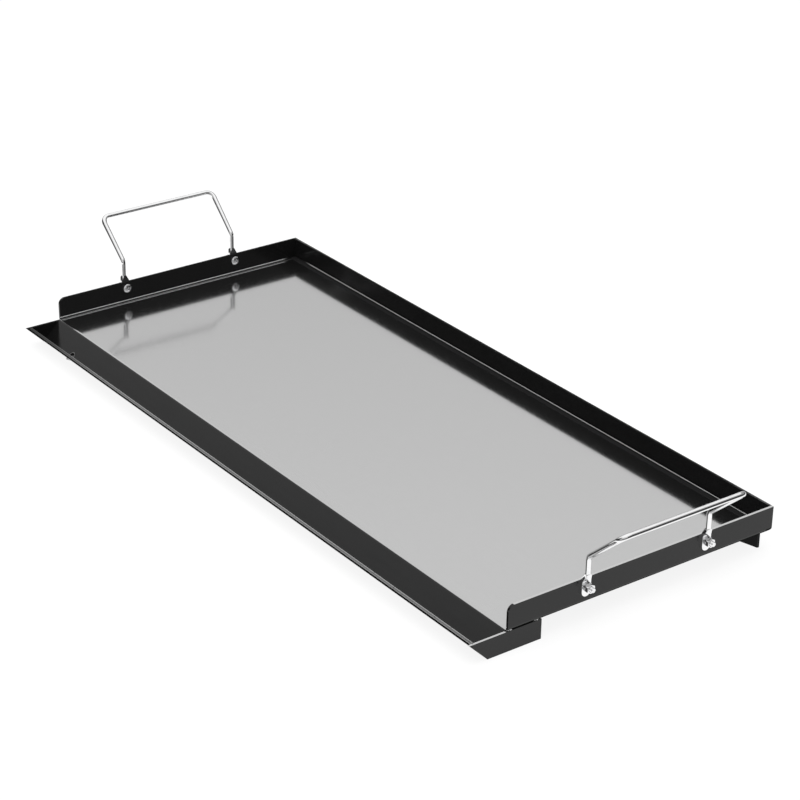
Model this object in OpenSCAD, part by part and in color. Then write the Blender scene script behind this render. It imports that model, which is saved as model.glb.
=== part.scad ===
// Camp griddle plate: a folded steel tray with a V-shaped grease gutter, welded end
// plates and feet, and two bolted wire handles. Millimetres, +Z up, +X along the long
// side, +Y towards the back. Origin below the middle of the plate, where its feet stand.

/* [Tray] */
// Length of the tray over the outer faces of its end flanges
tray_l = 965; // [700:1:1200]
// Depth of the cooking floor, from the gutter bend to the back flange's outer face
floor_d = 382; // [300:1:500]
// Thickness of the steel sheet
sheet_t = 3; // [2:0.1:6]
// Inner radius of every bend in the sheet
bend_r = 2.5; // [1:0.1:6]
// Height of the flanges above the cooking floor
flange_h = 29.1; // [15:0.05:60]
// Radius of the rounded front corner of each end flange
flange_corner_r = 8.5; // [0:0.1:20]
// Relief between the gutter bend and the front end of each end flange
corner_relief = 1; // [0:0.1:1.2]

/* [Gutter] */
// Depth of the gutter's sharp inner valley below the cooking floor
gutter_d = 23.3; // [12:0.1:40]
// Drop of the lip's inner edge below the cooking floor
lip_drop = 0.5; // [0:0.1:6]
// Diameter of the drain hole in the valley
drain_dia = 10; // [5:0.5:20]
// Distance of the drain hole from the tray's left end
drain_inset = 72.5; // [30:0.5:200]

/* [Feet] */
// Height of the cooking floor above the ground
stand_h = 26.35; // [26:0.05:60]
// Thickness of the end plates and of the rear feet
plate_t = 3; // [2:0.1:6]
// Distance that an end plate stands proud of the gutter's front wall
plate_proud = 0.3; // [0:0.1:2]
// Drop of an end plate's top edge below the cooking floor
plate_drop = 1.6; // [1:0.1:2.4]
// Distance that an end plate runs back behind the gutter bend
plate_back = 47; // [20:1:120]
// Length of a rear foot along the tray
rear_foot_l = 75; // [50:1:120]
// Distance from the back flange's outer face to the front face of a rear foot
rear_foot_inset = 17.5; // [10:0.5:60]
// Height of a rear foot's outer end below the cooking floor
rear_foot_end_h = 20.4; // [10:0.1:26]
// Length of the sloping bottom at a rear foot's outer end
rear_foot_slope = 36; // [10:1:60]

/* [Handles] */
// Diameter of the handle wire
wire_dia = 6.35; // [4:0.05:12]
// Distance between the two arms of a handle
arm_gap = 173; // [100:1:250]
// Distance from the end flange to the axis of a handle's upright
upright_x = 4.2; // [4.2:0.1:10]
// Height of the bend between upright and sloping arm, above the cooking floor
knee_z = 56.6; // [45:0.1:80]
// Distance that the sloping arm runs outwards
arm_run = 52.1; // [20:0.1:90]
// Distance that the sloping arm rises
arm_rise = 46.9; // [20:0.1:90]
// Distance that each arm leans away from the other on its way to the grip
arm_splay = 1.1; // [0:0.1:5]
// Centre-line radius of the bend at the knee
knee_r = 8; // [5:0.5:20]
// Centre-line radius of the bend between arm and grip
grip_r = 10; // [5:0.5:30]
// Width of a handle's flattened end
pad_w = 12.4; // [10:0.1:20]
// Thickness of a handle's flattened end
pad_t = 3.2; // [2:0.1:5]
// Height of the flattened end's lowest point above the cooking floor
pad_bottom_z = 7.9; // [4:0.1:12]
// Height above the cooking floor where the flattened end starts to narrow
pad_shoulder_z = 26.7; // [26:0.1:30]
// Height above the cooking floor where the wire is round again
pad_neck_z = 37; // [32:0.1:45]

/* [Fasteners] */
// Nominal diameter of the screws
screw_dia = 6; // [4:0.5:8]
// Length of a screw under its head
screw_l = 18; // [12:1:30]
// Height of a screw's centre above the cooking floor
screw_z = 20.2; // [12:0.1:24]
// Diameter of a screw's pan head
head_dia = 12; // [8:0.1:14]
// Height of a screw's pan head
head_h = 4.2; // [2:0.1:6]
// Radius of the pan head's dome
head_dome_r = 9.5; // [6:0.1:20]
// Width over the arms of the cross recess
recess_w = 6.6; // [3:0.1:8]
// Width of one arm of the cross recess
recess_slot = 1.7; // [0.8:0.1:2.5]
// Depth of the cross recess
recess_h = 2.5; // [1:0.1:4]
// Pitch of the screw thread
thread_pitch = 1; // [0.5:0.05:1.5]
// Depth of the thread grooves
thread_h = 0.45; // [0.2:0.05:0.8]
// Length of the screw's threaded end
thread_l = 11; // [5:1:14]
// Diameter of a flat washer
washer_dia = 12; // [9:0.1:16]
// Thickness of a flat washer
washer_t = 1.6; // [0.8:0.1:2.5]
// Diameter of a lock washer
lock_dia = 11.2; // [8:0.1:14]
// Thickness of a lock washer
lock_t = 1.6; // [0.8:0.1:2.5]
// Width of the split in a lock washer
lock_split = 0.9; // [0.4:0.1:2]
// Slant of the split in a lock washer, in degrees
lock_slant = 25; // [0:1:45]
// Width across the flats of a nut
nut_w = 10; // [7:0.1:13]
// Height of a nut
nut_h = 5; // [3:0.1:8]
// Height of the chamfer on a nut's corners
nut_chamfer = 0.6; // [0.2:0.1:1.2]

/* [Clearances] */
// Radial clearance of a screw in the flange, the handle end and the flat washer
hole_gap = 0.3; // [0.1:0.05:0.6]
// Radial clearance of a screw in a lock washer
lock_gap = 0.1; // [0.05:0.05:0.4]
// Radial clearance between screw and nut
nut_gap = 0.05; // [0.05:0.01:0.2]

/* [Hidden] */
$fn = 48;
eps = 1;
// A bend is drawn this much thicker than the straight parts, which run into it by a
// lap, so that they overlap and fuse into one solid.
swell = 0.02;
sheet_lap = 0.3;
wire_lap = 0.5;
// Relief that keeps the flattened end's cutting planes clear of the round wire
pad_relief = 0.15;
half_l = tray_l / 2;
outer_r = bend_r + sheet_t;
front_sum = 2 * gutter_d + sqrt(2) * (sheet_t + plate_proud);
nose_y = front_sum - plate_drop;
shift_y = (nose_y - floor_d) / 2;
bend_set = outer_r * tan(22.5);
wire_r = wire_dia / 2;
arm_angle = atan2(arm_run, arm_rise);
arm_l = norm([arm_run, arm_rise]);
knee_set = knee_r * tan(arm_angle / 2);
splay_angle = atan2(arm_splay, arm_l - knee_set);
splay_l = norm([arm_splay, arm_l - knee_set]);
grip_set = grip_r * tan(45 + splay_angle / 2);
grip_end_y = arm_gap / 2 + arm_splay - grip_set;
screw_y = floor_d / 2;
rear_foot_y = floor_d - rear_foot_inset;
screw_r = screw_dia / 2;
washer_x = pad_t;
lock_x = washer_x + washer_t;
nut_x = lock_x + lock_t;

// Which piece to show, or all of them

// Puts a right-hand piece on the left as its mirror image when side is -1.
module on_side(side)
{
    if (side < 0)
        mirror([1, 0, 0]) children();
    else
        children();
}

// Local frame with its origin on the gutter bend, level with the cooking floor.
module at_floor()
{
    translate([0, shift_y, stand_h]) children();
}

// Extrudes an outline drawn in Y and Z along X, from x_from over the given length.
module along_x(x_from, length)
{
    translate([x_from, 0, 0])
        rotate([90, 0, 90])
            linear_extrude(length)
                children();
}

// Extrudes an outline drawn in X and Z along +Y, from y_from over the given length.
module along_y(y_from, length)
{
    translate([0, y_from + length, 0])
        rotate([90, 0, 0])
            linear_extrude(length)
                children();
}

// Upright outline of the tray, with a rounded bend at both ends of its floor.
module cross_outline(width, bottom, r, top)
{
    translate([-width / 2, bottom + r])
        square([width, top - bottom - r]);
    translate([r - width / 2, bottom])
        square([width - 2 * r, 2 * r]);
    for (s = [-1, 1])
        translate([s * (width / 2 - r), bottom + r])
            circle(r);
}

// Upright outline of the tray from front to back, with a rounded bend at the back.
module depth_outline(from, to, bottom, r, top)
{
    translate([from, bottom + r])
        square([to - from, top - bottom - r]);
    translate([from, bottom])
        square([to - from - r, 2 * r]);
    translate([to - r, bottom + r])
        circle(r);
}

// Solid block of the tray's outside, from the gutter bend backwards.
module tray_outside()
{
    intersection()
    {
        along_y(0, floor_d)
            cross_outline(tray_l, -sheet_t, outer_r, flange_h);
        along_x(-half_l, tray_l)
            depth_outline(0, floor_d, -sheet_t, outer_r, flange_h);
    }
}

// Solid block of the tray's inside, open at the front and the top.
module tray_inside()
{
    intersection()
    {
        along_y(-eps, floor_d + eps)
            cross_outline(tray_l - 2 * sheet_t, 0, bend_r, flange_h + eps);
        along_x(-half_l, tray_l)
            depth_outline(-eps, floor_d - sheet_t, 0, bend_r, flange_h + eps);
    }
}

// Sector of a bent sheet around the local origin, from angle a over the angle turn.
module bend_sector(a, turn)
{
    reach = 2 * outer_r;
    intersection()
    {
        difference()
        {
            circle(outer_r + swell);
            circle(bend_r - swell);
        }
        polygon([
            [0, 0],
            [reach * cos(a), reach * sin(a)],
            [reach * cos(a + turn / 2), reach * sin(a + turn / 2)],
            [reach * cos(a + turn), reach * sin(a + turn)]
        ]);
    }
}

// Folded outline of the gutter: bend, rear slope, valley bend and front wall.
module gutter_outline()
{
    slope_l = gutter_d * sqrt(2);
    translate([bend_set - sheet_lap, -sheet_t])
        square([eps + sheet_lap, sheet_t]);
    translate([bend_set, -outer_r])
        bend_sector(90, 45);
    translate([-gutter_d, -gutter_d])
    {
        rotate(45)
            translate([bend_r - sheet_lap, -sheet_t])
                square([slope_l - bend_set - bend_r + 2 * sheet_lap, sheet_t]);
        translate([0, bend_r * sqrt(2)])
            bend_sector(225, 90);
        rotate(135)
            translate([bend_r - sheet_lap, 0])
                square([slope_l - lip_drop * sqrt(2) - bend_r + sheet_lap, sheet_t]);
    }
}

// Block that rounds the front top corner of an end flange.
module corner_cutter()
{
    along_x(half_l - sheet_t - eps, sheet_t + 2 * eps)
        translate([corner_relief, flange_h - flange_corner_r])
            difference()
            {
                translate([-eps, 0])
                    square([flange_corner_r + eps, flange_corner_r + eps]);
                translate([flange_corner_r, 0])
                    circle(flange_corner_r);
            }
}

// Local frame of one screw: origin on the end flange's outer face, +Z outwards.
module at_screw(side, row)
{
    on_side(side)
        translate([half_l, screw_y + row * arm_gap / 2, screw_z])
            rotate([0, 90, 0])
                children();
}

module griddle_tray()
{
    color("DimGray")
        at_floor()
            difference()
            {
                union()
                {
                    difference()
                    {
                        tray_outside();
                        tray_inside();
                        translate([sheet_t - half_l, -eps, -2 * sheet_t])
                            cube([tray_l - 2 * sheet_t, bend_set + eps, flange_h]);
                        translate([-half_l - eps, -eps, -2 * sheet_t])
                            cube([tray_l + 2 * eps, corner_relief + eps, flange_h + 3 * sheet_t]);
                        for (side = [-1, 1])
                            on_side(side) corner_cutter();
                    }
                    along_x(sheet_t - half_l, tray_l - 2 * sheet_t)
                        gutter_outline();
                }
                for (side = [-1, 1])
                    for (row = [-1, 1])
                        at_screw(side, row)
                            translate([0, 0, -2 * sheet_t])
                                cylinder(h = 3 * sheet_t, r = screw_r + hole_gap);
                translate([drain_inset - half_l, -gutter_d, -gutter_d - 3 * sheet_t])
                    cylinder(h = 6 * sheet_t, d = drain_dia);
            }
}

// End plate of the right end. Its top edge is cut to seat on the bent sheet.
module end_plate()
{
    at_floor()
        difference()
        {
            along_x(half_l - plate_t, plate_t)
                polygon([
                    [-nose_y, -plate_drop],
                    [stand_h - front_sum, -stand_h],
                    [plate_back, -stand_h],
                    [plate_back, -plate_drop]
                ]);
            tray_outside();
        }
}

module left_end_plate()
{
    color("DarkSlateGray") on_side(-1) end_plate();
}

module right_end_plate()
{
    color("DarkSlateGray") on_side(1) end_plate();
}

// Rear foot of the right end.
module rear_foot()
{
    foot_x = half_l - sheet_t;
    at_floor()
        along_y(rear_foot_y, plate_t)
            polygon([
                [foot_x, -sheet_t],
                [foot_x, -rear_foot_end_h],
                [foot_x - rear_foot_slope, -stand_h],
                [foot_x - rear_foot_l, -stand_h],
                [foot_x - rear_foot_l, -sheet_t]
            ]);
}

module left_rear_foot()
{
    color("DarkSlateGray") on_side(-1) rear_foot();
}

module right_rear_foot()
{
    color("DarkSlateGray") on_side(1) rear_foot();
}

// Flattened end and upright of one arm, in one piece: the wire's turned outline cut
// to the flattened end's front view and to its thickness seen from the side.
module upright()
{
    top_z = knee_z - knee_set + wire_lap;
    cut_r = wire_r + pad_relief;
    neck_r = wire_r + (pad_neck_z - pad_shoulder_z) / 2;
    difference()
    {
        intersection()
        {
            translate([upright_x, 0, 0])
                rotate_extrude()
                    polygon([
                        [0, 0],
                        [neck_r, 0],
                        [neck_r, pad_shoulder_z],
                        [wire_r, pad_neck_z],
                        [wire_r, top_z],
                        [0, top_z]
                    ]);
            along_x(-eps, upright_x + wire_dia)
            {
                translate([0, pad_bottom_z + pad_w / 2])
                    circle(pad_w / 2);
                polygon([
                    [-pad_w / 2, pad_bottom_z + pad_w / 2],
                    [pad_w / 2, pad_bottom_z + pad_w / 2],
                    [pad_w / 2, pad_shoulder_z],
                    [cut_r, pad_neck_z],
                    [cut_r, knee_z],
                    [-cut_r, knee_z],
                    [-cut_r, pad_neck_z],
                    [-pad_w / 2, pad_shoulder_z]
                ]);
            }
            along_y(-pad_w, 2 * pad_w)
                polygon([
                    [0, 0],
                    [pad_t, 0],
                    [pad_t, pad_shoulder_z],
                    [upright_x + cut_r, pad_neck_z],
                    [upright_x + cut_r, knee_z],
                    [upright_x - cut_r, knee_z],
                    [upright_x - cut_r, pad_neck_z],
                    [0, pad_shoulder_z]
                ]);
        }
        translate([-eps, 0, screw_z])
            rotate([0, 90, 0])
                cylinder(h = pad_t + 2 * eps, r = screw_r + hole_gap);
    }
}

// Bend in the wire: centre of the bend in the local origin, starting on +X.
module wire_bend(r, turn)
{
    rotate_extrude(angle = turn)
        translate([r, 0])
            circle(wire_r + swell);
}

// Right-hand handle: two uprights with knees, two sloping arms and the grip.
module handle()
{
    at_floor()
        translate([half_l, screw_y, 0])
        {
            for (row = [-1, 1])
                translate([0, row * arm_gap / 2, 0])
                {
                    upright();
                    translate([upright_x + knee_r, 0, knee_z - knee_set])
                        rotate([90, 0, 0])
                            rotate([0, 0, 180 - arm_angle])
                                wire_bend(knee_r, arm_angle);
                }
            translate([upright_x, 0, knee_z])
                rotate([0, arm_angle, 0])
                {
                    for (row = [-1, 1])
                    {
                        translate([0, row * arm_gap / 2, knee_set])
                            rotate([-row * splay_angle, 0, 0])
                                translate([0, 0, -wire_lap])
                                    cylinder(h = splay_l - grip_set + 2 * wire_lap, r = wire_r);
                        translate([0, row * grip_end_y, arm_l - grip_r])
                            rotate([0, -90, 0])
                                rotate([0, 0, row > 0 ? 0 : -90 - splay_angle])
                                    wire_bend(grip_r, 90 + splay_angle);
                    }
                    translate([0, -grip_end_y - wire_lap, arm_l])
                        rotate([-90, 0, 0])
                            cylinder(h = 2 * (grip_end_y + wire_lap), r = wire_r);
                }
        }
}

module left_handle()
{
    color("Silver") on_side(-1) handle();
}

module right_handle()
{
    color("Silver") on_side(1) handle();
}

// Outline of half a threaded screw shank, from under the head to the chamfered end.
module shank_outline()
{
    core_r = screw_r - thread_h;
    rings = floor(thread_l / thread_pitch);
    grooves = [
        for (i = [0 : rings - 1])
            for (p = [[screw_r, 0], [core_r, thread_pitch / 2]])
                [p[0], screw_l - thread_l + i * thread_pitch + p[1]]
    ];
    polygon(concat([[0, 0], [screw_r, 0]], grooves, [[core_r, screw_l], [0, screw_l]]));
}

// Pan head screw with a cross recess, its head against the flange's inner face.
module pan_screw()
{
    translate([0, 0, -sheet_t])
    {
        rotate_extrude()
            shank_outline();
        difference()
        {
            intersection()
            {
                translate([0, 0, -head_h])
                    cylinder(h = head_h, d = head_dia);
                translate([0, 0, head_dome_r - head_h])
                    sphere(head_dome_r);
            }
            intersection()
            {
                for (a = [0, 90])
                    rotate([0, 0, a])
                        translate([-recess_w / 2, -recess_slot / 2, -head_h - eps])
                            cube([recess_w, recess_slot, recess_h + eps]);
                translate([0, 0, -head_h])
                    cylinder(h = recess_h, r1 = recess_w / 2, r2 = recess_slot);
            }
        }
    }
}

// Flat ring with its lower face at the given height on the screw.
module ring(z_from, height, dia, hole_r)
{
    translate([0, 0, z_from])
        difference()
        {
            cylinder(h = height, d = dia);
            translate([0, 0, -eps])
                cylinder(h = height + 2 * eps, r = hole_r);
        }
}

module flat_washer()
{
    ring(washer_x, washer_t, washer_dia, screw_r + hole_gap);
}

// Split spring washer, clamped flat, with its slanted split upwards.
module lock_washer()
{
    difference()
    {
        ring(lock_x, lock_t, lock_dia, screw_r + lock_gap);
        translate([-lock_dia / 2, 0, lock_x + lock_t / 2])
            rotate([lock_slant, 0, 0])
                cube([lock_dia, lock_split, 4 * lock_t], center = true);
    }
}

// Hexagon nut with chamfered corners and a countersunk bore.
module hex_nut()
{
    corner_r = nut_w / sqrt(3);
    bore_r = screw_r + nut_gap;
    translate([0, 0, nut_x])
        difference()
        {
            intersection()
            {
                cylinder(h = nut_h, r = corner_r, $fn = 6);
                rotate_extrude()
                    polygon([
                        [0, 0],
                        [nut_w / 2 - nut_chamfer / 4, 0],
                        [corner_r, nut_chamfer],
                        [corner_r, nut_h - nut_chamfer],
                        [nut_w / 2 - nut_chamfer / 4, nut_h],
                        [0, nut_h]
                    ]);
            }
            rotate_extrude()
                polygon([
                    [0, -eps],
                    [bore_r + eps, -eps],
                    [bore_r + eps, 0],
                    [bore_r, nut_chamfer],
                    [bore_r, nut_h - nut_chamfer],
                    [bore_r + eps, nut_h],
                    [bore_r + eps, nut_h + eps],
                    [0, nut_h + eps]
                ]);
        }
}

// Puts a fastener on the screw axis of one side and row, in the tray's frame.
module fastener(side, row)
{
    at_floor()
        at_screw(side, row)
            children();
}

module left_front_screw()
{
    color("Gainsboro") fastener(-1, -1) pan_screw();
}

module left_rear_screw()
{
    color("Gainsboro") fastener(-1, 1) pan_screw();
}

module right_front_screw()
{
    color("Gainsboro") fastener(1, -1) pan_screw();
}

module right_rear_screw()
{
    color("Gainsboro") fastener(1, 1) pan_screw();
}

module left_front_washer()
{
    color("LightGray") fastener(-1, -1) flat_washer();
}

module left_rear_washer()
{
    color("LightGray") fastener(-1, 1) flat_washer();
}

module right_front_washer()
{
    color("LightGray") fastener(1, -1) flat_washer();
}

module right_rear_washer()
{
    color("LightGray") fastener(1, 1) flat_washer();
}

module left_front_lock_washer()
{
    color("Gray") fastener(-1, -1) lock_washer();
}

module left_rear_lock_washer()
{
    color("Gray") fastener(-1, 1) lock_washer();
}

module right_front_lock_washer()
{
    color("Gray") fastener(1, -1) lock_washer();
}

module right_rear_lock_washer()
{
    color("Gray") fastener(1, 1) lock_washer();
}

module left_front_nut()
{
    color("Silver") fastener(-1, -1) hex_nut();
}

module left_rear_nut()
{
    color("Silver") fastener(-1, 1) hex_nut();
}

module right_front_nut()
{
    color("Silver") fastener(1, -1) hex_nut();
}

module right_rear_nut()
{
    color("Silver") fastener(1, 1) hex_nut();
}

griddle_tray();
left_end_plate();
right_end_plate();
left_rear_foot();
right_rear_foot();
left_handle();
right_handle();
left_front_screw();
left_rear_screw();
right_front_screw();
right_rear_screw();
left_front_washer();
left_rear_washer();
right_front_washer();
right_rear_washer();
left_front_lock_washer();
left_rear_lock_washer();
right_front_lock_washer();
right_rear_lock_washer();
left_front_nut();
left_rear_nut();
right_front_nut();
right_rear_nut();
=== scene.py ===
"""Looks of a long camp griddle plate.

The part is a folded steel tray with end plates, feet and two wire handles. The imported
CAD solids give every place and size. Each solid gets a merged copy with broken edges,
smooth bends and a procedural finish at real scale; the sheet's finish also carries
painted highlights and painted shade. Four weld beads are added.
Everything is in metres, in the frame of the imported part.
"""

import logging
import math
from collections.abc import Callable
from dataclasses import dataclass
from enum import Enum
from typing import Any, Union

import bpy
from mathutils import Matrix, Quaternion, Vector


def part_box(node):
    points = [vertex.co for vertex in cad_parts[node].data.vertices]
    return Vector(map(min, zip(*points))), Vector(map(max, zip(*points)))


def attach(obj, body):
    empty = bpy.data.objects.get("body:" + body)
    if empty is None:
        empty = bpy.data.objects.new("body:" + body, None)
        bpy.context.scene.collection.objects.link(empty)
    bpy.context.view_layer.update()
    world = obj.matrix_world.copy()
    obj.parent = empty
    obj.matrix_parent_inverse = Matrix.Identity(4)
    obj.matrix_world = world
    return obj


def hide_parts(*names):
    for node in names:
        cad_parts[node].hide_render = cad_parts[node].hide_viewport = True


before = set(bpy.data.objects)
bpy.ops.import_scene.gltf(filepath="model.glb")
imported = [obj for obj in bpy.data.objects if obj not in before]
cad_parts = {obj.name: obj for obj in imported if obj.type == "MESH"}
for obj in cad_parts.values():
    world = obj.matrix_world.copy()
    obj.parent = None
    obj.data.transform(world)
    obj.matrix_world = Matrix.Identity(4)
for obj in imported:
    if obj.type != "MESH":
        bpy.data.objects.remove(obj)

LOG = logging.getLogger("griddle")
MM = 0.001
NOISE_MIDDLE = 0.5

# The cooking floor's top, and where the floor turns down into the gutter.
FLOOR_Z = 26.35 * MM
FOLD_Y = -166.17 * MM

Colour = tuple[float, float, float, float]
Stretch = tuple[float, float, float]
Operand = Union[float, "Sock"]


class End(Enum):
    """The two ends of the plate, as the CAD nodes name them."""

    LEFT = "left"
    RIGHT = "right"


class Row(Enum):
    """The two screws of one handle, as the CAD nodes name them."""

    FRONT = "front"
    REAR = "rear"


class Zone(Enum):
    """Which parts of a sheet piece are left without coating or carry painted
    highlights.

    The bends carry painted highlight lines, and the bare top edges on the right are
    wear and a painted highlight.
    """

    TRAY = "cooking floor, right top edge, lip, drain hole's rim and bends"
    RIGHT_PLATE = "top edge in front of the fold"
    LEFT_PLATE = "none"


# --------------------------------------------------------------- shader building blocks


@dataclass(frozen=True)
class Ramp:
    """An eased step from 0 at its start to 1 at its end, which may lie below it."""

    start: float
    end: float

    def times(self, factor: float) -> "Ramp":
        """The same step with both its values multiplied by the factor."""
        return Ramp(self.start * factor, self.end * factor)


class Sock:
    """One output socket, with Python's operators for its maths."""

    def __init__(self, graph: "Graph", socket: bpy.types.NodeSocket) -> None:
        """Keeps the socket and the graph that it belongs to."""
        self.graph = graph
        self.socket = socket

    def _math(self, operation: str, *values: Operand) -> "Sock":
        """Adds one Math node.

        Args:
            operation: the Math node's operation.
            values: numbers or sockets, in the node's input order.

        Returns:
            The node's result.
        """
        settings = {"operation": operation}
        return self.graph.node("ShaderNodeMath", settings, dict(enumerate(values)))[0]

    def __add__(self, other: Operand) -> "Sock":
        """Sum."""
        return self._math("ADD", self, other)

    def __radd__(self, other: Operand) -> "Sock":
        """Sum, with the number on the left."""
        return self._math("ADD", other, self)

    def __sub__(self, other: Operand) -> "Sock":
        """Difference."""
        return self._math("SUBTRACT", self, other)

    def __rsub__(self, other: Operand) -> "Sock":
        """Difference, with the number on the left."""
        return self._math("SUBTRACT", other, self)

    def __mul__(self, other: Operand) -> "Sock":
        """Product."""
        return self._math("MULTIPLY", self, other)

    def __rmul__(self, other: Operand) -> "Sock":
        """Product, with the number on the left."""
        return self._math("MULTIPLY", other, self)

    def __abs__(self) -> "Sock":
        """Absolute value."""
        return self._math("ABSOLUTE", self)

    def root(self) -> "Sock":
        """Square root."""
        return self._math("SQRT", self)

    def larger(self, other: Operand) -> "Sock":
        """The larger of two values."""
        return self._math("MAXIMUM", self, other)

    def smaller(self, other: Operand) -> "Sock":
        """The smaller of two values."""
        return self._math("MINIMUM", self, other)

    def rise(self, ramp: Ramp, origin: float = 0.0) -> "Sock":
        """Goes smoothly from 0 at the ramp's start to 1 at its end.

        Args:
            ramp: the step, measured from the origin.
            origin: the value at which the ramp's zero lies.

        Returns:
            The eased value, from 0 to 1.
        """
        start, end = origin + ramp.start, origin + ramp.end
        low, high = min(start, end), max(start, end)
        settings = {"interpolation_type": "SMOOTHSTEP"}
        inputs = {
            "Value": self,
            "From Min": low,
            "From Max": high,
            "To Min": 0.0,
            "To Max": 1.0,
        }
        eased = self.graph.node("ShaderNodeMapRange", settings, inputs)["Result"]
        return eased if start < end else 1.0 - eased


class Made:
    """A node that was added, whose outputs are read by name or number."""

    def __init__(self, graph: "Graph", node: bpy.types.Node) -> None:
        """Keeps the node and its graph."""
        self.graph = graph
        self.node = node

    def __getitem__(self, output: Union[str, int]) -> Sock:
        """The output of that name or number."""
        return Sock(self.graph, self.node.outputs[output])


class Graph:
    """The node tree of one material, or of the world."""

    def __init__(self, tree: bpy.types.NodeTree) -> None:
        """Empties the tree, to build it anew."""
        self.tree = tree
        tree.nodes.clear()

    def node(
        self,
        kind: str,
        settings: dict[str, Any] | None = None,
        inputs: dict[Union[str, int], Any] | None = None,
    ) -> Made:
        """Adds a node of any type.

        Args:
            kind: the node's type name.
            settings: its own settings, set first.
            inputs: numbers, colours or sockets by input name or number.

        Returns:
            The node, whose outputs are read by name or number.
        """
        made = self.tree.nodes.new(kind)
        for key, value in (settings or {}).items():
            setattr(made, key, value)
        for key, value in (inputs or {}).items():
            if isinstance(value, Sock):
                self.tree.links.new(value.socket, made.inputs[key])
            else:
                made.inputs[key].default_value = value
        return Made(self, made)

    def place(self) -> Sock:
        """The surface point in the part's own frame, in metres."""
        return self.node("ShaderNodeTexCoord")["Object"]

    def facing_up(self) -> Sock:
        """How far the surface looks up, from -1 for straight down to 1."""
        return self.split(self.node("ShaderNodeNewGeometry")["Normal"])[2]

    def split(self, vector: Sock) -> tuple[Sock, Sock, Sock]:
        """The three parts of a vector."""
        parts = self.node("ShaderNodeSeparateXYZ", inputs={"Vector": vector})
        return parts["X"], parts["Y"], parts["Z"]

    def stretch(self, vector: Sock, scale: Stretch) -> Sock:
        """The vector with each part scaled, to draw a pattern out along an axis."""
        inputs = {"Vector": vector, "Scale": scale}
        return self.node("ShaderNodeMapping", inputs=inputs)["Vector"]

    def noise(
        self, vector: Sock, size: float, detail: float = 3.0, rough: float = 0.55
    ) -> Sock:
        """Cloudy noise around 0.5.

        Args:
            vector: where to read it, in metres.
            size: the size of its blotches in metres.
            detail: number of finer layers.
            rough: strength of the finer layers.

        Returns:
            The noise value.
        """
        inputs = {
            "Vector": vector,
            "Scale": 1.0 / size,
            "Detail": detail,
            "Roughness": rough,
        }
        return self.node("ShaderNodeTexNoise", inputs=inputs)["Fac"]

    def blend(self, low: Any, high: Any, mask: Operand) -> Sock:
        """Mixes two colours by a mask, low where it is 0 and high where it is 1."""
        # A Mix node has the same names for each type, so its colours go by number.
        inputs = {0: mask, 6: low, 7: high}
        return self.node("ShaderNodeMix", {"data_type": "RGBA"}, inputs)[2]

    def bump(self, height: Sock, distance: float, strength: float) -> Sock:
        """The normal of a surface with that relief.

        Args:
            height: relief from 0 to 1.
            distance: depth of the relief in metres.
            strength: share of the relief that is shown.

        Returns:
            The bent normal.
        """
        inputs = {"Height": height, "Distance": distance, "Strength": strength}
        return self.node("ShaderNodeBump", inputs=inputs)["Normal"]

    def principled(
        self,
        colour: Any,
        metal: Operand,
        rough: Operand,
        normal: Sock | None = None,
        ior: float = 1.45,
    ) -> Sock:
        """The general surface shader.

        Args:
            colour: base colour.
            metal: 0 for coating, 1 for bare metal.
            rough: roughness.
            normal: bent normal, if any.
            ior: index of refraction, which sets the gloss of what isn't metal.

        Returns:
            The shader.
        """
        inputs = {
            "Base Color": colour,
            "Metallic": metal,
            "Roughness": rough,
            "IOR": ior,
        }
        if normal:
            inputs["Normal"] = normal
        return self.node("ShaderNodeBsdfPrincipled", inputs=inputs)["BSDF"]

    def diffuse(self, colour: Any) -> Sock:
        """A shader without any gloss."""
        return self.node("ShaderNodeBsdfDiffuse", inputs={"Color": colour})["BSDF"]

    def mix(self, mask: Sock, low: Sock, high: Sock) -> Sock:
        """Mixes two shaders by a mask, low where it is 0 and high where it is 1."""
        inputs = {0: mask, 1: low, 2: high}
        return self.node("ShaderNodeMixShader", inputs=inputs)["Shader"]

    def surface(self, shader: Sock) -> None:
        """Ends the tree with the given shader as the surface."""
        self.node("ShaderNodeOutputMaterial", inputs={"Surface": shader})


def grey(value: float) -> Colour:
    """A neutral colour of that linear value."""
    return (value, value, value, 1.0)


# ------------------------------------------------------------------ masks of bare steel


@dataclass(frozen=True)
class Spot:
    """The surface point that a mask is read at, in metres, with fine noise."""

    at: Sock
    x: Sock
    y: Sock
    z: Sock
    specks: Sock


@dataclass(frozen=True)
class SheetPlaces:
    """Where the folds and edges of a sheet piece lie, in metres."""

    floor_z: float = FLOOR_Z
    fold_y: float = FOLD_Y
    edge_z: float = 1.0
    inner_x: float = 479.5 * MM
    inner_y: float = 212.83 * MM
    lip_y: float = -209.2 * MM
    bend: float = 2.6 * MM
    drain_at: tuple[float, float] = (-410.0 * MM, -189.47 * MM)
    drain_r: float = 5.0 * MM

    def from_drain(self, spot: Spot) -> Sock:
        """The square of the distance from the drain hole's axis."""
        dx, dy = spot.x - self.drain_at[0], spot.y - self.drain_at[1]
        return dx * dx + dy * dy


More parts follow.
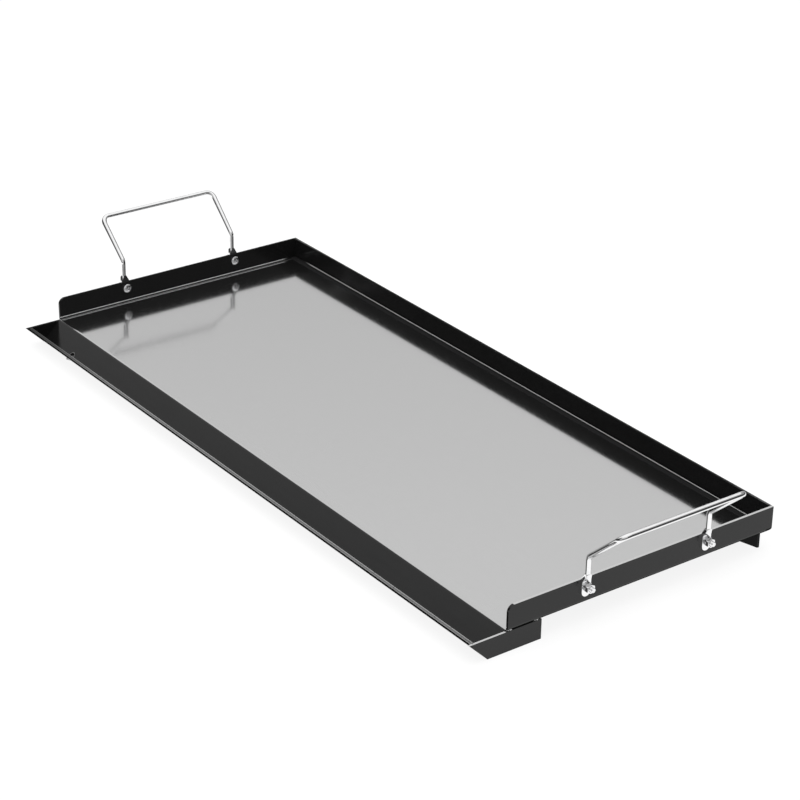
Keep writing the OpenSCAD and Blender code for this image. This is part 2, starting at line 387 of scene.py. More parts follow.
@dataclass(frozen=True)
class BareFloorAndHighlights:
    """The bare cooking floor, and the painted highlight lines along its bends."""

    # Height from the floor's top.
    bottom: Ramp = Ramp(-0.5 * MM, -0.3 * MM)
    top: Ramp = Ramp(0.2 * MM, 0.1 * MM)

    # Depth from the gutter's fold, the flanges' inner faces, and the back flange's.
    past_fold: Ramp = Ramp(-0.2 * MM, 0.4 * MM)
    within: Ramp = Ramp(0.8 * MM, 0.4 * MM)
    back_band: Ramp = Ramp(-6.4 * MM, -6.6 * MM)

    # Painted highlight lines: height from the bends' upper end, and distance from the
    # back left corner.
    highlight_bottom: Ramp = Ramp(-0.8 * MM, -0.6 * MM)
    highlight_top: Ramp = Ramp(0.3 * MM, 0.15 * MM)
    highlight_along: Ramp = Ramp(22.0 * MM, 40.0 * MM)
    highlight_across: Ramp = Ramp(-12.0 * MM, -22.0 * MM)

    # The gutter fold's painted highlight: depth from the gutter's fold, and place
    # across.
    fold_highlight_front: Ramp = Ramp(-1.2 * MM, -1.0 * MM)
    fold_highlight_back: Ramp = Ramp(0.1 * MM, -0.1 * MM)
    fold_highlight_left: Ramp = Ramp(-390.0 * MM, -480.0 * MM)

    def masks(self, spot: Spot, places: SheetPlaces) -> tuple[Sock, Sock]:
        """Builds the two masks.

        The floor ends in front of a band of coating along the back bend. The painted
        highlight lines run along the upper end of the left, right and back bends, with
        a gap at the back left corner, and along the left end of the gutter's fold.

        Args:
            spot: the surface point.
            places: the sheet's folds and edges.

        Returns:
            The floor's mask and the painted highlight lines' mask.
        """
        x, y, z = spot.x, spot.y, spot.z
        above = z.rise(self.bottom, places.floor_z)
        inside = y.rise(self.past_fold, places.fold_y)
        inside = inside * abs(x).rise(self.within, places.inner_x)
        inside = inside * y.rise(self.within, places.inner_y)

        floor = z.rise(self.top, places.floor_z)
        floor = floor * y.rise(self.back_band, places.inner_y)

        # Painted highlight: a thin line along the upper end of each bend.
        head = places.floor_z + places.bend
        line = z.rise(self.highlight_bottom, head) * z.rise(self.highlight_top, head)
        along_back = (x + places.inner_x).rise(self.highlight_along)
        line = line * along_back.larger(y.rise(self.highlight_across, places.inner_y))

        # Painted highlight along the left end of the gutter's fold.
        fold = y.rise(self.fold_highlight_front, places.fold_y)
        fold = fold * y.rise(self.fold_highlight_back, places.fold_y)
        fold = fold * above * x.rise(self.fold_highlight_left)
        return above * floor * inside, (line * inside).larger(fold)


class BareEdge:
    """A cut edge, or part of one, on which the steel is bare."""

    def mask(self, spot: Spot, places: SheetPlaces) -> Sock:
        """Builds the mask.

        Args:
            spot: the surface point.
            places: the sheet's folds and edges.

        Returns:
            The mask, 1 where the steel is bare.
        """
        raise NotImplementedError


@dataclass(frozen=True)
class TopWearAndHighlight(BareEdge):
    """The right flange's top edge, and part of the back flange's at its two ends.

    Its bare steel is wear and a painted highlight: the left flange's matching edge
    stays dark.
    """

    height: Ramp = Ramp(-0.12 * MM, -0.06 * MM)
    past_face: Ramp = Ramp(-0.4 * MM, 0.0)
    ends: Ramp = Ramp(380.0 * MM, 470.0 * MM)
    ends_share: float = 0.35
    worn: Ramp = Ramp(0.3, 0.5)

    def mask(self, spot: Spot, places: SheetPlaces) -> Sock:
        """Height from the top edge, depth from the flanges' inner faces."""
        top = spot.z.rise(self.height, places.edge_z)
        # Painted highlight: the bare top edge is on the right flange only.
        right = spot.x.rise(self.past_face, places.inner_x)
        back = self.ends_share * spot.y.rise(self.past_face, places.inner_y)
        back = back * abs(spot.x).rise(self.ends)
        return top * right.larger(back * spot.specks.rise(self.worn))


@dataclass(frozen=True)
class LipWearAndHighlight(BareEdge):
    """The lip's two edges, and places on its cut face. Its bare steel is wear and a
    painted highlight, which fades to the left.
    """

    height: Ramp = Ramp(-3.1 * MM, -2.7 * MM)
    face: Ramp = Ramp(0.4 * MM, 0.1 * MM)
    brow: Ramp = Ramp(-0.75 * MM, -0.35 * MM)
    brim: Ramp = Ramp(-1.6 * MM, -2.0 * MM)
    to_right: Ramp = Ramp(-470.0 * MM, -230.0 * MM)
    left_share: float = 0.08
    face_share: float = 0.25
    brow_share: float = 0.5
    brim_share: float = 0.4
    worn: Ramp = Ramp(0.2, 0.4)

    def mask(self, spot: Spot, places: SheetPlaces) -> Sock:
        """Height from the floor's top, depth from the lip."""
        high = spot.z.rise(self.height, places.floor_z)
        front = spot.y.rise(self.face, places.lip_y)
        brow = spot.y.rise(self.brow, places.lip_y)
        brim = spot.y.rise(self.brim, places.lip_y)
        # Painted highlight: the bare steel fades towards the left end.
        wear = self.left_share + (1.0 - self.left_share) * spot.x.rise(self.to_right)
        share = self.face_share + self.brow_share * brow + self.brim_share * brim
        return wear * high * front * share * spot.specks.rise(self.worn)


@dataclass(frozen=True)
class DrainWear(BareEdge):
    """A thin rim around the drain hole, on the gutter's inside."""

    width: float = 0.5 * MM
    outer: Ramp = Ramp(1.08, 1.0)
    inner: Ramp = Ramp(1.02, 1.08)
    height: Ramp = Ramp(2.5 * MM, 3.5 * MM)
    share: float = 0.45
    worn: Ramp = Ramp(0.3, 0.5)

    def mask(self, spot: Spot, places: SheetPlaces) -> Sock:
        """Squared distance from the hole's axis, height from the ground."""
        out = places.from_drain(spot)
        near, far = places.drain_r**2, (places.drain_r + self.width) ** 2
        rim = out.rise(self.outer.times(far)) * out.rise(self.inner.times(near))
        return self.share * rim * spot.z.rise(self.height) * spot.specks.rise(self.worn)


@dataclass(frozen=True)
class PlateWearAndHighlight(BareEdge):
    """An end plate's top edge in front of the fold. Its bare steel is wear and a
    painted highlight, given to the right plate only.
    """

    height: Ramp = Ramp(-0.12 * MM, -0.06 * MM)
    ahead: Ramp = Ramp(-0.5 * MM, -1.5 * MM)
    worn: Ramp = Ramp(0.1, 0.3)

    def mask(self, spot: Spot, places: SheetPlaces) -> Sock:
        """Height from the top edge, depth from the fold."""
        top = spot.z.rise(self.height, places.edge_z)
        worn = spot.specks.rise(self.worn)
        return top * worn * spot.y.rise(self.ahead, places.fold_y)


@dataclass(frozen=True)
class ThinCoatAndPaintedShade:
    """Where the coating is drawn matt and dark grey, as painted shade.

    That is on cut top edges but the right one, faces that look down, the foot of the
    back bend and the drain hole's bore, which stand darker for how light falls there.
    """

    height: Ramp = Ramp(-0.35 * MM, -0.2 * MM)
    short_of_face: Ramp = Ramp(0.0, -0.4 * MM)
    facing: Ramp = Ramp(-0.2, -0.45)
    bend_foot: Ramp = Ramp(-6.6 * MM, -6.4 * MM)
    bend_height: Ramp = Ramp(2.3 * MM, 1.9 * MM)
    bore: Ramp = Ramp(1.06, 1.02)

    def mask(self, graph: Graph, spot: Spot, places: SheetPlaces) -> Sock:
        """Builds the mask.

        Args:
            graph: the material's nodes.
            spot: the surface point.
            places: the sheet's folds and edges.

        Returns:
            The mask, 1 where the matt painted shade goes.
        """
        top = spot.z.rise(self.height, places.edge_z)
        top = top * spot.x.rise(self.short_of_face, places.inner_x)
        # Painted shade: faces that look down are drawn matt and dark.
        down = graph.facing_up().rise(self.facing)
        bend = spot.y.rise(self.bend_foot, places.inner_y)
        bend = bend * spot.z.rise(self.bend_height, places.floor_z)
        bore = places.from_drain(spot).rise(self.bore.times(places.drain_r**2))
        return top.larger(down).larger(bend).larger(bore)


# ----------------------------------------------------------------------------- finishes


@dataclass(frozen=True)
class Finish:
    """A finish with a name, from which one material is made."""

    name: str

    def material(self) -> bpy.types.Material:
        """Builds the material, or returns the one already built.

        Returns:
            The material of that name.
        """
        known = bpy.data.materials.get(self.name)
        if known:
            return known
        made = bpy.data.materials.new(self.name)
        made.use_nodes = True
        graph = Graph(made.node_tree)
        graph.surface(self.shader(graph))
        return made

    def shader(self, graph: Graph) -> Sock:
        """Builds the finish's own nodes and returns its shader."""
        raise NotImplementedError


@dataclass(frozen=True)
class BlackCoating(Finish):
    """Black heat-proof coating, semi-gloss, with a fine orange-peel texture."""

    coat_grey: float = 0.009
    coat_spread: float = 0.2
    coat_rough: float = 0.15
    coat_ior: float = 1.4
    cloud_size: float = 60 * MM
    smear_size: float = 40 * MM
    smear_draw: Stretch = (1.0, 6.0, 6.0)
    smear_rough: float = 0.08
    peel_size: float = 0.9 * MM
    peel_depth: float = 0.02 * MM
    peel_share: float = 0.5

    def shader(self, graph: Graph) -> Sock:
        """The coating alone."""
        at = graph.place()
        colour, rough = self.coat(graph, at)
        normal = graph.bump(self.peel(graph, at), self.peel_depth, self.peel_share)
        return graph.principled(colour, 0.0, rough, normal, self.coat_ior)

    def coat(self, graph: Graph, at: Sock) -> tuple[Sock, Sock]:
        """Colour and roughness of the coating, cloudy with a few handling smears.

        Args:
            graph: the material's nodes.
            at: the surface point in metres.

        Returns:
            Colour and roughness.
        """
        clouds = graph.noise(at, self.cloud_size, detail=4.0)
        drawn = graph.stretch(at, self.smear_draw)
        smears = graph.noise(drawn, self.smear_size, detail=5.0)
        dark = grey(self.coat_grey * (1.0 - self.coat_spread))
        light = grey(self.coat_grey * (1.0 + self.coat_spread))
        rough = self.coat_rough + self.smear_rough * (smears - NOISE_MIDDLE)
        return graph.blend(dark, light, clouds), rough

    def peel(self, graph: Graph, at: Sock) -> Sock:
        """Relief of the orange-peel texture, from 0 to 1."""
        return graph.noise(at, self.peel_size, detail=2.0)


@dataclass(frozen=True)
class WornEdge(BlackCoating):
    """A broken edge on which the thin coating shows bright steel in places.

    The larger the share, the lower the noise at which the steel is bare.
    """

    steel_grey: float = 0.5
    steel_rough: float = 0.3
    share: float = 0.1
    share_reach: float = -0.3
    rub: Ramp = Ramp(0.62, 0.72)
    rub_size: float = 3 * MM
    rub_draw: Stretch = (0.25, 1.0, 1.0)

    def shader(self, graph: Graph) -> Sock:
        """Mixes coating and bare steel along the edge by a ragged mask."""
        at = graph.place()
        colour, rough = self.coat(graph, at)
        rub = graph.noise(graph.stretch(at, self.rub_draw), self.rub_size, detail=4.0)
        bare = rub.rise(self.rub, self.share_reach * self.share)
        colour = graph.blend(colour, grey(self.steel_grey), bare)
        rough = rough + (self.steel_rough - rough) * bare
        return graph.principled(colour, bare, rough, ior=self.coat_ior)


@dataclass(frozen=True)
class CoatedSheet(BlackCoating):
    """Coated sheet whose cooking floor and some of whose cut edges are bare steel.

    edge_rough is added to the steel's roughness on cut edges. The lines along the bends
    are painted highlights, brighter than an edge and not metal, so that they don't
    mirror the dark flange beside them.
    """

    zone: Zone = Zone.LEFT_PLATE
    places: SheetPlaces = SheetPlaces()

    steel_grey: float = 0.53
    steel_spread: float = 0.07
    steel_metal: float = 0.99
    steel_rough: float = 0.11
    edge_grey: float = 0.62
    edge_rough: float = 0.12
    # Painted highlight: the white of the lines along the bends.
    highlight_grey: float = 1.0
    # Painted shade: the matt dark grey drawn on faces that look down, some edges and
    # hollows.
    matt_shade_grey: float = 0.02

    speck_size: float = 4 * MM
    speck_relief: float = 0.04
    speck_rough: float = 0.03
    mill_size: float = 14 * MM
    mill_draw: Stretch = (1.0, 14.0, 14.0)
    mill_share: float = 0.6
    grain_size: float = 0.9 * MM
    haze_size: float = 90 * MM
    haze_rough: float = 0.05

    def shader(self, graph: Graph) -> Sock:
        """Mixes the coating with bare steel on the floor and on the cut edges."""
        at = graph.place()
        specks = graph.noise(at, self.speck_size, detail=3.0)
        spot = Spot(at, *graph.split(at), specks)
        floor, line, edge = self._bare_and_highlight_masks(spot)
        # The painted highlight lines count as bare here, but take no metal below.
        bare = floor.larger(edge)

        colour, rough = self.coat(graph, at)
        steel, steel_rough = self._steel(graph, spot)
        colour = graph.blend(colour, steel, floor)
        # Bare steel on the edges, and the painted highlight lines' white.
        worn = graph.blend(grey(self.edge_grey), grey(self.highlight_grey), line)
        colour = graph.blend(colour, worn, edge)
        rough = rough + (steel_rough + self.edge_rough * edge - rough) * bare
        relief = self.peel(graph, at) * (1.0 - bare) + self.speck_relief * specks * bare
        normal = graph.bump(relief, self.peel_depth, self.peel_share)
        metal = self.steel_metal * bare * (1.0 - line)
        gloss = graph.principled(colour, metal, rough, normal, self.coat_ior)
        # Painted shade: the matt dark grey replaces the gloss where the coating isn't
        # bare.
        thin = ThinCoatAndPaintedShade().mask(graph, spot, self.places) * (1.0 - bare)
        return graph.mix(thin, gloss, graph.diffuse(grey(self.matt_shade_grey)))

    def _bare_and_highlight_masks(self, spot: Spot) -> tuple[Sock, Sock, Sock]:
        """Builds the masks of bare steel and of painted highlights that belong to the
        zone.

        Args:
            spot: the surface point.

        Returns:
            Masks of the floor, of the painted highlight lines at its bends, and of all
            edges and lines.
        """
        nowhere = 0.0 * spot.z
        if self.zone is Zone.LEFT_PLATE:
            return nowhere, nowhere, nowhere
        if self.zone is Zone.RIGHT_PLATE:
            return nowhere, nowhere, PlateWearAndHighlight().mask(spot, self.places)
        floor, line = BareFloorAndHighlights().masks(spot, self.places)
        edge = line
        for wear in (TopWearAndHighlight(), LipWearAndHighlight(), DrainWear()):
            edge = edge.larger(wear.mask(spot, self.places))
        return floor, line, edge

    def _steel(self, graph: Graph, spot: Spot) -> tuple[Sock, Sock]:
        """Bare rolled steel with faint mill marks along the sheet.

        Args:
            graph: the material's nodes.
            spot: the surface point.

        Returns:
            Colour and roughness.
        """
        drawn = graph.stretch(spot.at, self.mill_draw)
        mill = graph.noise(drawn, self.mill_size, detail=6.0)
        grain = graph.noise(spot.at, self.grain_size, detail=2.0)
        shade = self.mill_share * mill + (1.0 - self.mill_share) * grain
        dark = grey(self.steel_grey * (1.0 - self.steel_spread))
        light = grey(self.steel_grey * (1.0 + self.steel_spread))
        clouds = graph.noise(spot.at, self.haze_size, detail=4.0)
        rough = self.steel_rough + self.haze_rough * (clouds - NOISE_MIDDLE)
        rough = rough + self.speck_rough * (spot.specks - NOISE_MIDDLE)
        return graph.blend(dark, light, shade), rough


@dataclass(frozen=True)
class PlatedMetal(Finish):
    """Plated or plain metal hardware, with fine handling marks."""

    colour: Colour = (0.8, 0.8, 0.8, 1.0)
    rough: float = 0.1
    mark_size: float = 6 * MM
    mark_shade: Ramp = Ramp(0.45, 0.75)
    mark_dull: Ramp = Ramp(0.35, 0.8)
    mark_rough: float = 0.06
    dull_share: float = 0.9
    relief_size: float = 0.5 * MM
    relief_depth: float = 0.004 * MM
    relief_share: float = 0.3

    def shader(self, graph: Graph) -> Sock:
        """A metal whose gloss and colour vary a little over the surface."""
        at = graph.place()
        marks = graph.noise(at, self.mark_size, detail=5.0, rough=0.6)
        fine = graph.noise(at, self.relief_size, detail=2.0)
        dull = tuple(self.dull_share * part for part in self.colour[:3]) + (1.0,)
        colour = graph.blend(self.colour, dull, marks.rise(self.mark_shade))
        rough = self.rough + self.mark_rough * marks.rise(self.mark_dull)
        normal = graph.bump(fine, self.relief_depth, self.relief_share)
        return graph.principled(colour, 1.0, rough, normal)


# ------------------------------------------------------------------------- mesh helpers


def deselect_all() -> None:
    """Deselects every object, so that an operator acts on the next piece alone."""
    if bpy.context.object and bpy.context.object.mode != "OBJECT":
        bpy.ops.object.mode_set(mode="OBJECT")
    bpy.ops.object.select_all(action="DESELECT")


def activate(piece: bpy.types.Object) -> None:
    """Makes the piece the only selected and the active object."""
    deselect_all()
    piece.select_set(True)
    bpy.context.view_layer.objects.active = piece


@dataclass(frozen=True)
class Softening:
    """How a copy of a solid is merged and its edges are broken.

    Sizes are in metres and angles in degrees.
    """

    merge: float = 0.05 * MM
    sliver_share: float = 0.2
    flat_angle: float = 0.4
    edge: float = 0.3 * MM
    edge_angle: float = 35.0
    smooth_angle: float = 38.0
    segments: int = 2

    def clean(self, piece: bpy.types.Object) -> None:
        """Merges the active piece's vertices and dissolves slivers and flat edges."""
        if piece.data.has_custom_normals:
            bpy.ops.mesh.customdata_custom_splitnormals_clear()
        bpy.ops.object.mode_set(mode="EDIT")
        bpy.ops.mesh.select_all(action="SELECT")
        bpy.ops.mesh.remove_doubles(threshold=self.merge)
        bpy.ops.mesh.dissolve_degenerate(threshold=self.merge * self.sliver_share)
        bpy.ops.mesh.select_all(action="SELECT")
        bpy.ops.mesh.dissolve_limited(angle_limit=math.radians(self.flat_angle))
        bpy.ops.mesh.select_all(action="SELECT")
        bpy.ops.mesh.normals_make_consistent(inside=False)
        bpy.ops.object.mode_set(mode="OBJECT")

    def soften(self, piece: bpy.types.Object) -> None:
        """Breaks the active piece's edges in its last finish and smooths its bends."""
        bevel = piece.modifiers.new("edge", "BEVEL")
        bevel.width = self.edge
        bevel.segments = self.segments
        bevel.limit_method = "ANGLE"
        bevel.angle_limit = math.radians(self.edge_angle)
        bevel.material = len(piece.data.materials) - 1
        bpy.ops.object.modifier_apply(modifier=bevel.name)
        bpy.ops.object.shade_smooth_by_angle(angle=math.radians(self.smooth_angle))
        weighted = piece.modifiers.new("flats", "WEIGHTED_NORMAL")
        weighted.keep_sharp = True
        bpy.ops.object.modifier_apply(modifier=weighted.name)


def dressed_copy(
    node: str,
    name: str,
    how: Softening,
    finishes: tuple[Finish, ...],
    reshape: Callable[[bpy.types.Mesh], None] | None = None,
) -> None:
    """Makes a clean, finished piece that rides on the root body in a CAD node's place.

    Args:
        node: the CAD node that is copied and then hidden.
        name: the new piece's name.
        how: merge distance, edge width and angles.
        finishes: the main finish, and optionally one for the broken edges.
        reshape: moves vertices of the copied mesh before anything else, if given.
    """
    piece = bpy.data.objects.new(name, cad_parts[node].data.copy())
    bpy.context.scene.collection.objects.link(piece)
    if reshape:
        reshape(piece.data)
    piece.data.materials.clear()
    for finish in finishes:
        piece.data.materials.append(finish.material())
    activate(piece)
    how.clean(piece)
    how.soften(piece)
    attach(piece, "root")
    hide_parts(node)
    faces = len(piece.data.polygons)
    LOG.info("%s: %d faces, finish %s", name, faces, finishes[0].name)


# ----------------------------------------------------------------------- sub-assemblies


@dataclass
class Tray:
    """The folded sheet with its floor, flanges and gutter.

    The gutter's front wall, which is the mesh in front of valley_y, is sheared towards
    the floor: not at all at wall_start and by lip_shift at wall_end. All three places
    are measured from the fold, the last two up the wall's slope.
    """

    valley_y: float = -24.0 * MM
    wall_start: float = 2.5 * MM
    wall_end: float = 32.24 * MM
    lip_shift: float = 3.05 * MM
    softening: Softening = Softening(edge=0.25 * MM)

    def _steepen(self, mesh: bpy.types.Mesh) -> None:
        """Sets the gutter's front wall steeper, so that its lip stands as in the photo.

        Args:
            mesh: the copied tray.
        """
        for vertex in mesh.vertices:
            y, z = vertex.co.y - FOLD_Y, vertex.co.z - FLOOR_Z
            along = (z - y) / math.sqrt(2.0)
            if y < self.valley_y and along > self.wall_start:
                share = (along - self.wall_start) / (self.wall_end - self.wall_start)
                vertex.co.y += self.lip_shift * share

    def build(self) -> None:
        """Builds the tray and dresses it."""
        places = SheetPlaces(edge_z=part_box("griddle_tray")[1].z)
        finish = CoatedSheet("tray_finish", zone=Zone.TRAY, places=places)
        how, look = self.softening, (finish,)
        dressed_copy("griddle_tray", "tray", how, look, self._steepen)


@dataclass
class WeldedPlates:
    """The end plates that close the gutter, and the rear feet."""

    slot: str = "black_coating"
    foot_finish: BlackCoating = BlackCoating("foot_finish", coat_ior=1.15)
    edge_finish: WornEdge = WornEdge("foot_edge_finish")
    softening: Softening = Softening(edge=0.25 * MM)

    def build(self) -> None:
        """Builds the four plates and dresses them."""
        # Painted highlight: only the right plate's top edge is bare; the left one stays
        # coated.
        zones = {End.LEFT: Zone.LEFT_PLATE, End.RIGHT: Zone.RIGHT_PLATE}
        for end, zone in zones.items():
            side = end.value
            node = f"{side}_end_plate"
            places = SheetPlaces(edge_z=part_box(node)[1].z)
            finish = CoatedSheet(f"{side}_plate_finish", zone=zone, places=places)
            self._piece(node, f"{side}_plate", finish)
            self._piece(f"{side}_rear_foot", f"{side}_foot", self.foot_finish)

    def _piece(self, node: str, name: str, finish: BlackCoating) -> None:
        """Builds one plate from its node, with worn edges."""
        dressed_copy(node, name, self.softening, (finish, self.edge_finish))


@dataclass
class Welds:
    """Short weld beads that hold the end plates under the tray's end bends.

    The wander is a share of the radius, and the turn of each copy is in radians.
    """

    length: float = 9.0 * MM
    radius: float = 1.5 * MM
    ripples: int = 7
    ripple_depth: float = 0.1
    ripple_slant: float = 0.25
    wander: float = 0.12
    wander_rate: float = 5.0
    segments: int = 20
    rings: int = 28
    turn_step: float = 0.7
    outer_x: float = 480.9 * MM
    top_z: float = 25.3 * MM
    plate_y: tuple[float, float] = (-161.6 * MM, -125.4 * MM)
    finish: WornEdge = WornEdge(
        "bead_finish", steel_grey=0.7, steel_rough=0.2, share=0.55
    )

    def build(self) -> None:
        """Models one bead and copies it to each of its places."""
        first = self._bead()
        first.data.materials.append(self.finish.material())
        places = [
            Vector((side * self.outer_x, y, self.top_z))
            for side in (-1, 1)
            for y in self.plate_y
        ]
        for number, place in enumerate(places, start=1):
            self._copy(first, number, place)
        bpy.data.objects.remove(first)

    def _bead(self) -> bpy.types.Object:
        """Models one rippled bead along Y, around the origin.

        Returns:
            The bead.
        """
        deselect_all()
        bpy.ops.mesh.primitive_uv_sphere_add(
            segments=self.segments,
            ring_count=self.rings,
            radius=1.0,
            rotation=(math.pi / 2, 0, 0),
        )
        bpy.ops.object.transform_apply(location=True, rotation=True, scale=True)
        bead = bpy.context.object
        for vertex in bead.data.vertices:
            x, y, z = vertex.co
            along = math.asin(max(-1.0, min(1.0, y))) / (math.pi / 2)
            ripple = math.pi * self.ripples * (along + self.ripple_slant * x)
            around = self.radius * (1.0 + self.ripple_depth * math.cos(ripple))
            lift = self.wander * self.radius * math.sin(self.wander_rate * along)
            vertex.co = (x * around, 0.5 * self.length * along, z * around + lift)
        activate(bead)
        bpy.ops.object.shade_smooth()
        return bead

    def _copy(self, first: bpy.types.Object, number: int, place: Vector) -> None:
        """Copies the bead to one place.

        Args:
            first: the modelled bead.
            number: the copy's number, which turns its ripples a little.
            place: where its middle goes.
        """
        bead = bpy.data.objects.new(f"weld_bead_{number}", first.data.copy())
        bpy.context.scene.collection.objects.link(bead)
        turn = Matrix.Rotation(self.turn_step * number, 4, "Y")
        bead.data.transform(Matrix.Translation(place) @ turn)
        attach(bead, "root")
        LOG.info("%s: at %.3f %.3f %.3f", bead.name, *place)


@dataclass
class Handles:
    """The two chromed wire handles with their flattened ends."""

    finish: PlatedMetal = PlatedMetal(
        "chrome_finish", colour=(0.93, 0.93, 0.935, 1.0), rough=0.03, mark_size=9 * MM
    )
    softening: Softening = Softening(edge_angle=42.0, smooth_angle=45.0)

    def build(self) -> None:
        """Builds both handles and dresses them."""
        how, look = self.softening, (self.finish,)
        for end in End:
            side = end.value
            dressed_copy(f"{side}_handle", f"{side}_bail", how, look)


@dataclass
class Fasteners:
    """Screw, washers and nut of each handle end."""

    zinc: PlatedMetal = PlatedMetal(
        "zinc_finish", colour=(0.9, 0.9, 0.91, 1.0), rough=0.07, mark_size=2 * MM
    )
    spring: PlatedMetal = PlatedMetal(
        "spring_steel_finish",
        colour=(0.62, 0.62, 0.63, 1.0),
        rough=0.16,
        mark_size=2 * MM,
    )
    softening: Softening = Softening(
        merge=0.01 * MM, edge=0.12 * MM, smooth_angle=40.0
    )

    def build(self) -> None:
        """Builds the fasteners of both handles and dresses them."""
        for end in End:
            for row in Row:
                at = f"{end.value}_{row.value}"
                for part in ("screw", "washer", "nut"):
                    self._piece(f"{at}_{part}", self.zinc, "zinc_plate")
                self._piece(f"{at}_lock_washer", self.spring, "spring_steel")

    def _piece(self, node: str, finish: PlatedMetal, slot: str) -> None:
        """Builds one fastener from its node and dresses it."""
        dressed_copy(node, f"{node}_piece", self.softening, (finish,))


# ------------------------------------------------------------------------------- studio


@dataclass
class Ground:
    """A wide pale floor that keeps a faint shadow of the part.

    The camera sees it white, and so does the polished metal as far as paper_end. Under
    the tray, and on the spot seen through the drain hole, it is plain paper in the
    part's shade. From below it is clear.
    """

    half: float = 12.0
    drop: float = 0.2 * MM
    paper_end: float = 0.8
    paper_fade: float = 0.1
    paper_grey: float = 0.85
    room_grey: float = 0.06
    shadow_share: float = 0.16
    lift: float = 0.88

    # The ground under the tray, and the spot that is seen through the drain hole.
    under_left: Ramp = Ramp(-0.47, -0.44)
    under_right: Ramp = Ramp(0.25, 0.05)
    under_front: Ramp = Ramp(-0.19, -0.178)
    under_back: Ramp = Ramp(0.12, 0.02)
    drain_at: tuple[float, float] = (-0.4125, -0.1865)
    drain_spot: Ramp = Ramp(0.008**2, 0.006**2)

    def build(self) -> None:
        """Adds the floor and its material."""
        deselect_all()
        middle = (0, 0, -self.drop)
        bpy.ops.mesh.primitive_plane_add(size=2 * self.half, location=middle)
        floor = bpy.context.object
        floor.name = "studio_floor"
        made = bpy.data.materials.new("studio_floor")
        made.use_nodes = True
        graph = Graph(made.node_tree)
        x, y, _ = graph.split(graph.place())
        reach = Ramp(self.paper_end, self.paper_end - self.paper_fade)
        near = (x * x + y * y).root().rise(reach)
        shade = graph.blend(grey(self.room_grey), grey(self.paper_grey), near)
        path = graph.node("ShaderNodeLightPath")
        seen = path["Is Camera Ray"].larger(path["Is Glossy Ray"] * near)
        seen = seen * (1.0 - self._beneath(x, y))
        top = graph.mix(seen, graph.diffuse(shade), self._shown(graph))
        below = graph.node("ShaderNodeNewGeometry")["Backfacing"]
        clear = graph.node("ShaderNodeBsdfTransparent")["BSDF"]
        graph.surface(graph.mix(below, top, clear))
        floor.data.materials.append(made)

    def _shown(self, graph: Graph) -> Sock:
        """The white that is seen, with the share of light that keeps the shadow."""
        veil = graph.diffuse(grey(self.shadow_share))
        inputs = {"Color": grey(1.0), "Strength": self.lift}
        lift = graph.node("ShaderNodeEmission", inputs=inputs)["Emission"]
        return graph.node("ShaderNodeAddShader", inputs={0: veil, 1: lift})["Shader"]

    def _beneath(self, x: Sock, y: Sock) -> Sock:
        """1 under the tray, and on the spot that is seen through the drain hole."""
        across = x.rise(self.under_left) * x.rise(self.under_right)
        under = across * y.rise(self.under_front) * y.rise(self.under_back)
        dx, dy = x - self.drain_at[0], y - self.drain_at[1]
        return under.larger((dx * dx + dy * dy).rise(self.drain_spot))


@dataclass(frozen=True)
class Wall:
    """One side of the room, as the world shows it in the directions towards it.

    Its spread is measured along the level direction in which it stands, and its height
    along Z, both on the unit sphere.
    """

    level: float
    towards: tuple[float, float]
    spread: Ramp
    height: Ramp

    def glow(self, x: Sock, y: Sock, z: Sock) -> Sock:
        """Its brightness in the direction x, y, z."""
        ahead = self.towards[0] * x + self.towards[1] * y
        return self.level * ahead.rise(self.spread) * z.rise(self.height)


@dataclass
class Room:
    """A dim room with a white ceiling, a pale wall to the left and darker ones around.

    The camera sees all of it white. The left wall darkens towards its foot and front.
    """

    dim_level: float = 0.02
    ceiling: Ramp = Ramp(0.62, 0.74)
    left: Wall = Wall(1.0, (-1.0, 0.0), Ramp(0.3, 0.5), Ramp(0.03, 0.08))
    left_cut: Ramp = Ramp(-0.09, 0.0)
    left_foot: float = 0.225
    left_climb: float = 1.55
    left_front: Ramp = Ramp(0.1, -0.2)
    left_shade: float = 0.1
    right: Wall = Wall(0.32, (0.8, 0.6), Ramp(0.2, 0.6), Ramp(0.3, 0.42))
    front: Wall = Wall(0.6, (0.8, -0.6), Ramp(0.35, 0.6), Ramp(0.03, 0.1))
    front_side: Ramp = Ramp(0.05, 0.2)
    rear: Wall = Wall(0.3, (0.0, 1.0), Ramp(0.7, 0.85), Ramp(0.1, 0.2))

    def build(self) -> None:
        """Makes the world."""
        world = bpy.data.worlds.new("studio_world")
        bpy.context.scene.world = world
        world.use_nodes = True
        graph = Graph(world.node_tree)
        x, y, z = graph.split(graph.node("ShaderNodeTexCoord")["Generated"])
        shade = (self.left_foot + self.left_climb * z).smaller(1.0)
        shade = shade - self.left_shade * y.rise(self.left_front)
        left = self.left.glow(x, y, z) * (y + z).rise(self.left_cut) * shade
        front = self.front.glow(x, y, z) * (-1.0 * y).rise(self.front_side)
        level = z.rise(self.ceiling).larger(self.dim_level)
        for wall in (left, self.right.glow(x, y, z), front, self.rear.glow(x, y, z)):
            level = level.larger(wall)
        seen = graph.node("ShaderNodeLightPath")["Is Camera Ray"]
        colour = graph.blend(grey(0.0), grey(1.0), level.larger(seen))
        inputs = {"Color": colour, "Strength": 1.0}
        back = graph.node("ShaderNodeBackground", inputs=inputs)["Background"]
        graph.node("ShaderNodeOutputWorld", inputs={"Surface": back})


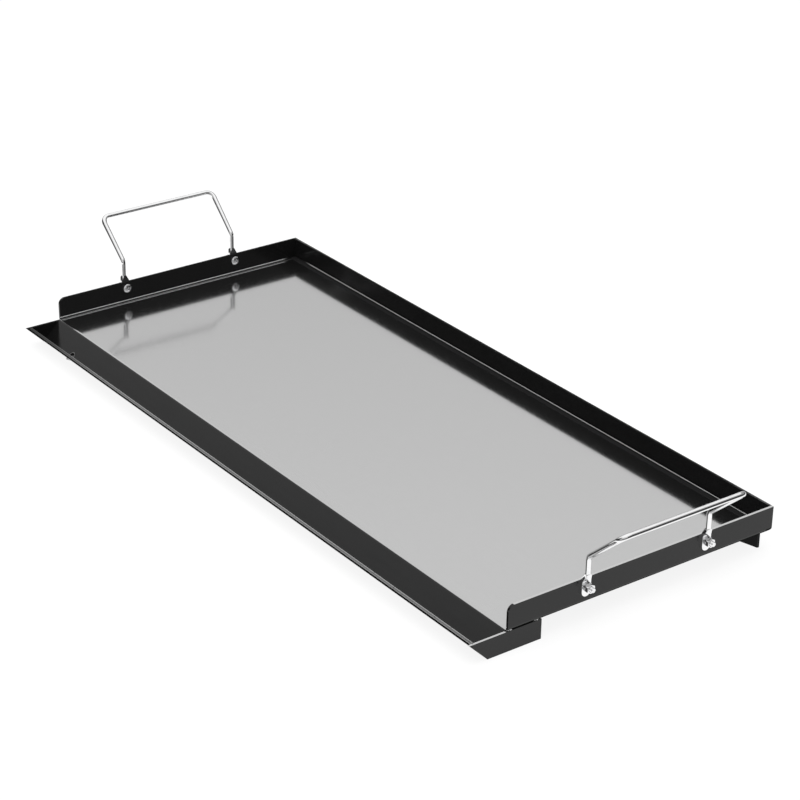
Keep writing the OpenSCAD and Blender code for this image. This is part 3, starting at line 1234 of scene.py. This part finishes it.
@dataclass
class Lamp:
    """One large soft lamp overhead, which the polished metal doesn't mirror."""

    at: tuple[float, float, float] = (0.15, -0.25, 2.6)
    size: float = 2.4
    watts: float = 30.0

    def build(self) -> None:
        """Adds the lamp, turned to the part."""
        deselect_all()
        bpy.ops.object.light_add(type="AREA", location=self.at)
        lamp = bpy.context.object
        lamp.name = "soft_lamp"
        lamp.data.size = self.size
        lamp.data.energy = self.watts
        lamp.visible_glossy = False
        lamp.rotation_mode = "QUATERNION"
        lamp.rotation_quaternion = (-lamp.location).to_track_quat("-Z", "Y")


@dataclass
class PhotoCamera:
    """The camera at the photograph's place, angle and lens.

    Angles are in degrees, the lens and the sensor in the camera's own millimetres.
    """

    at: tuple[float, float, float] = (2.11798, -1.52105, 1.33286)
    azimuth: float = 53.4805
    elevation: float = 26.1206
    roll: float = 0.8874
    lens: float = 106.757
    sensor: float = 36.0
    clip: tuple[float, float] = (0.05, 100.0)

    def build(self) -> None:
        """Adds the camera and sets the plain view transform."""
        bpy.context.scene.view_settings.view_transform = "Standard"
        deselect_all()
        bpy.ops.object.camera_add(location=self.at)
        camera = bpy.context.object
        camera.name = "photo_camera"
        turn, rise = math.radians(self.azimuth), math.radians(self.elevation)
        level = math.cos(rise)
        across, along = -math.sin(turn) * level, math.cos(turn) * level
        ahead = Vector((across, along, -math.sin(rise)))
        roll = Quaternion((0, 0, 1), math.radians(self.roll))
        camera.rotation_mode = "QUATERNION"
        camera.rotation_quaternion = ahead.to_track_quat("-Z", "Y") @ roll
        camera.data.lens = self.lens
        camera.data.sensor_width = self.sensor
        camera.data.clip_start, camera.data.clip_end = self.clip
        bpy.context.scene.camera = camera


def main() -> None:
    """Builds the part's looks and the studio, in order."""
    logging.basicConfig(level=logging.INFO, format="%(name)s: %(message)s")
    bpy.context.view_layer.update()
    for group in (Tray(), WeldedPlates(), Welds(), Handles(), Fasteners()):
        group.build()
    for item in (Ground(), Room(), Lamp(), PhotoCamera()):
        item.build()


if __name__ == "__main__":
    main()
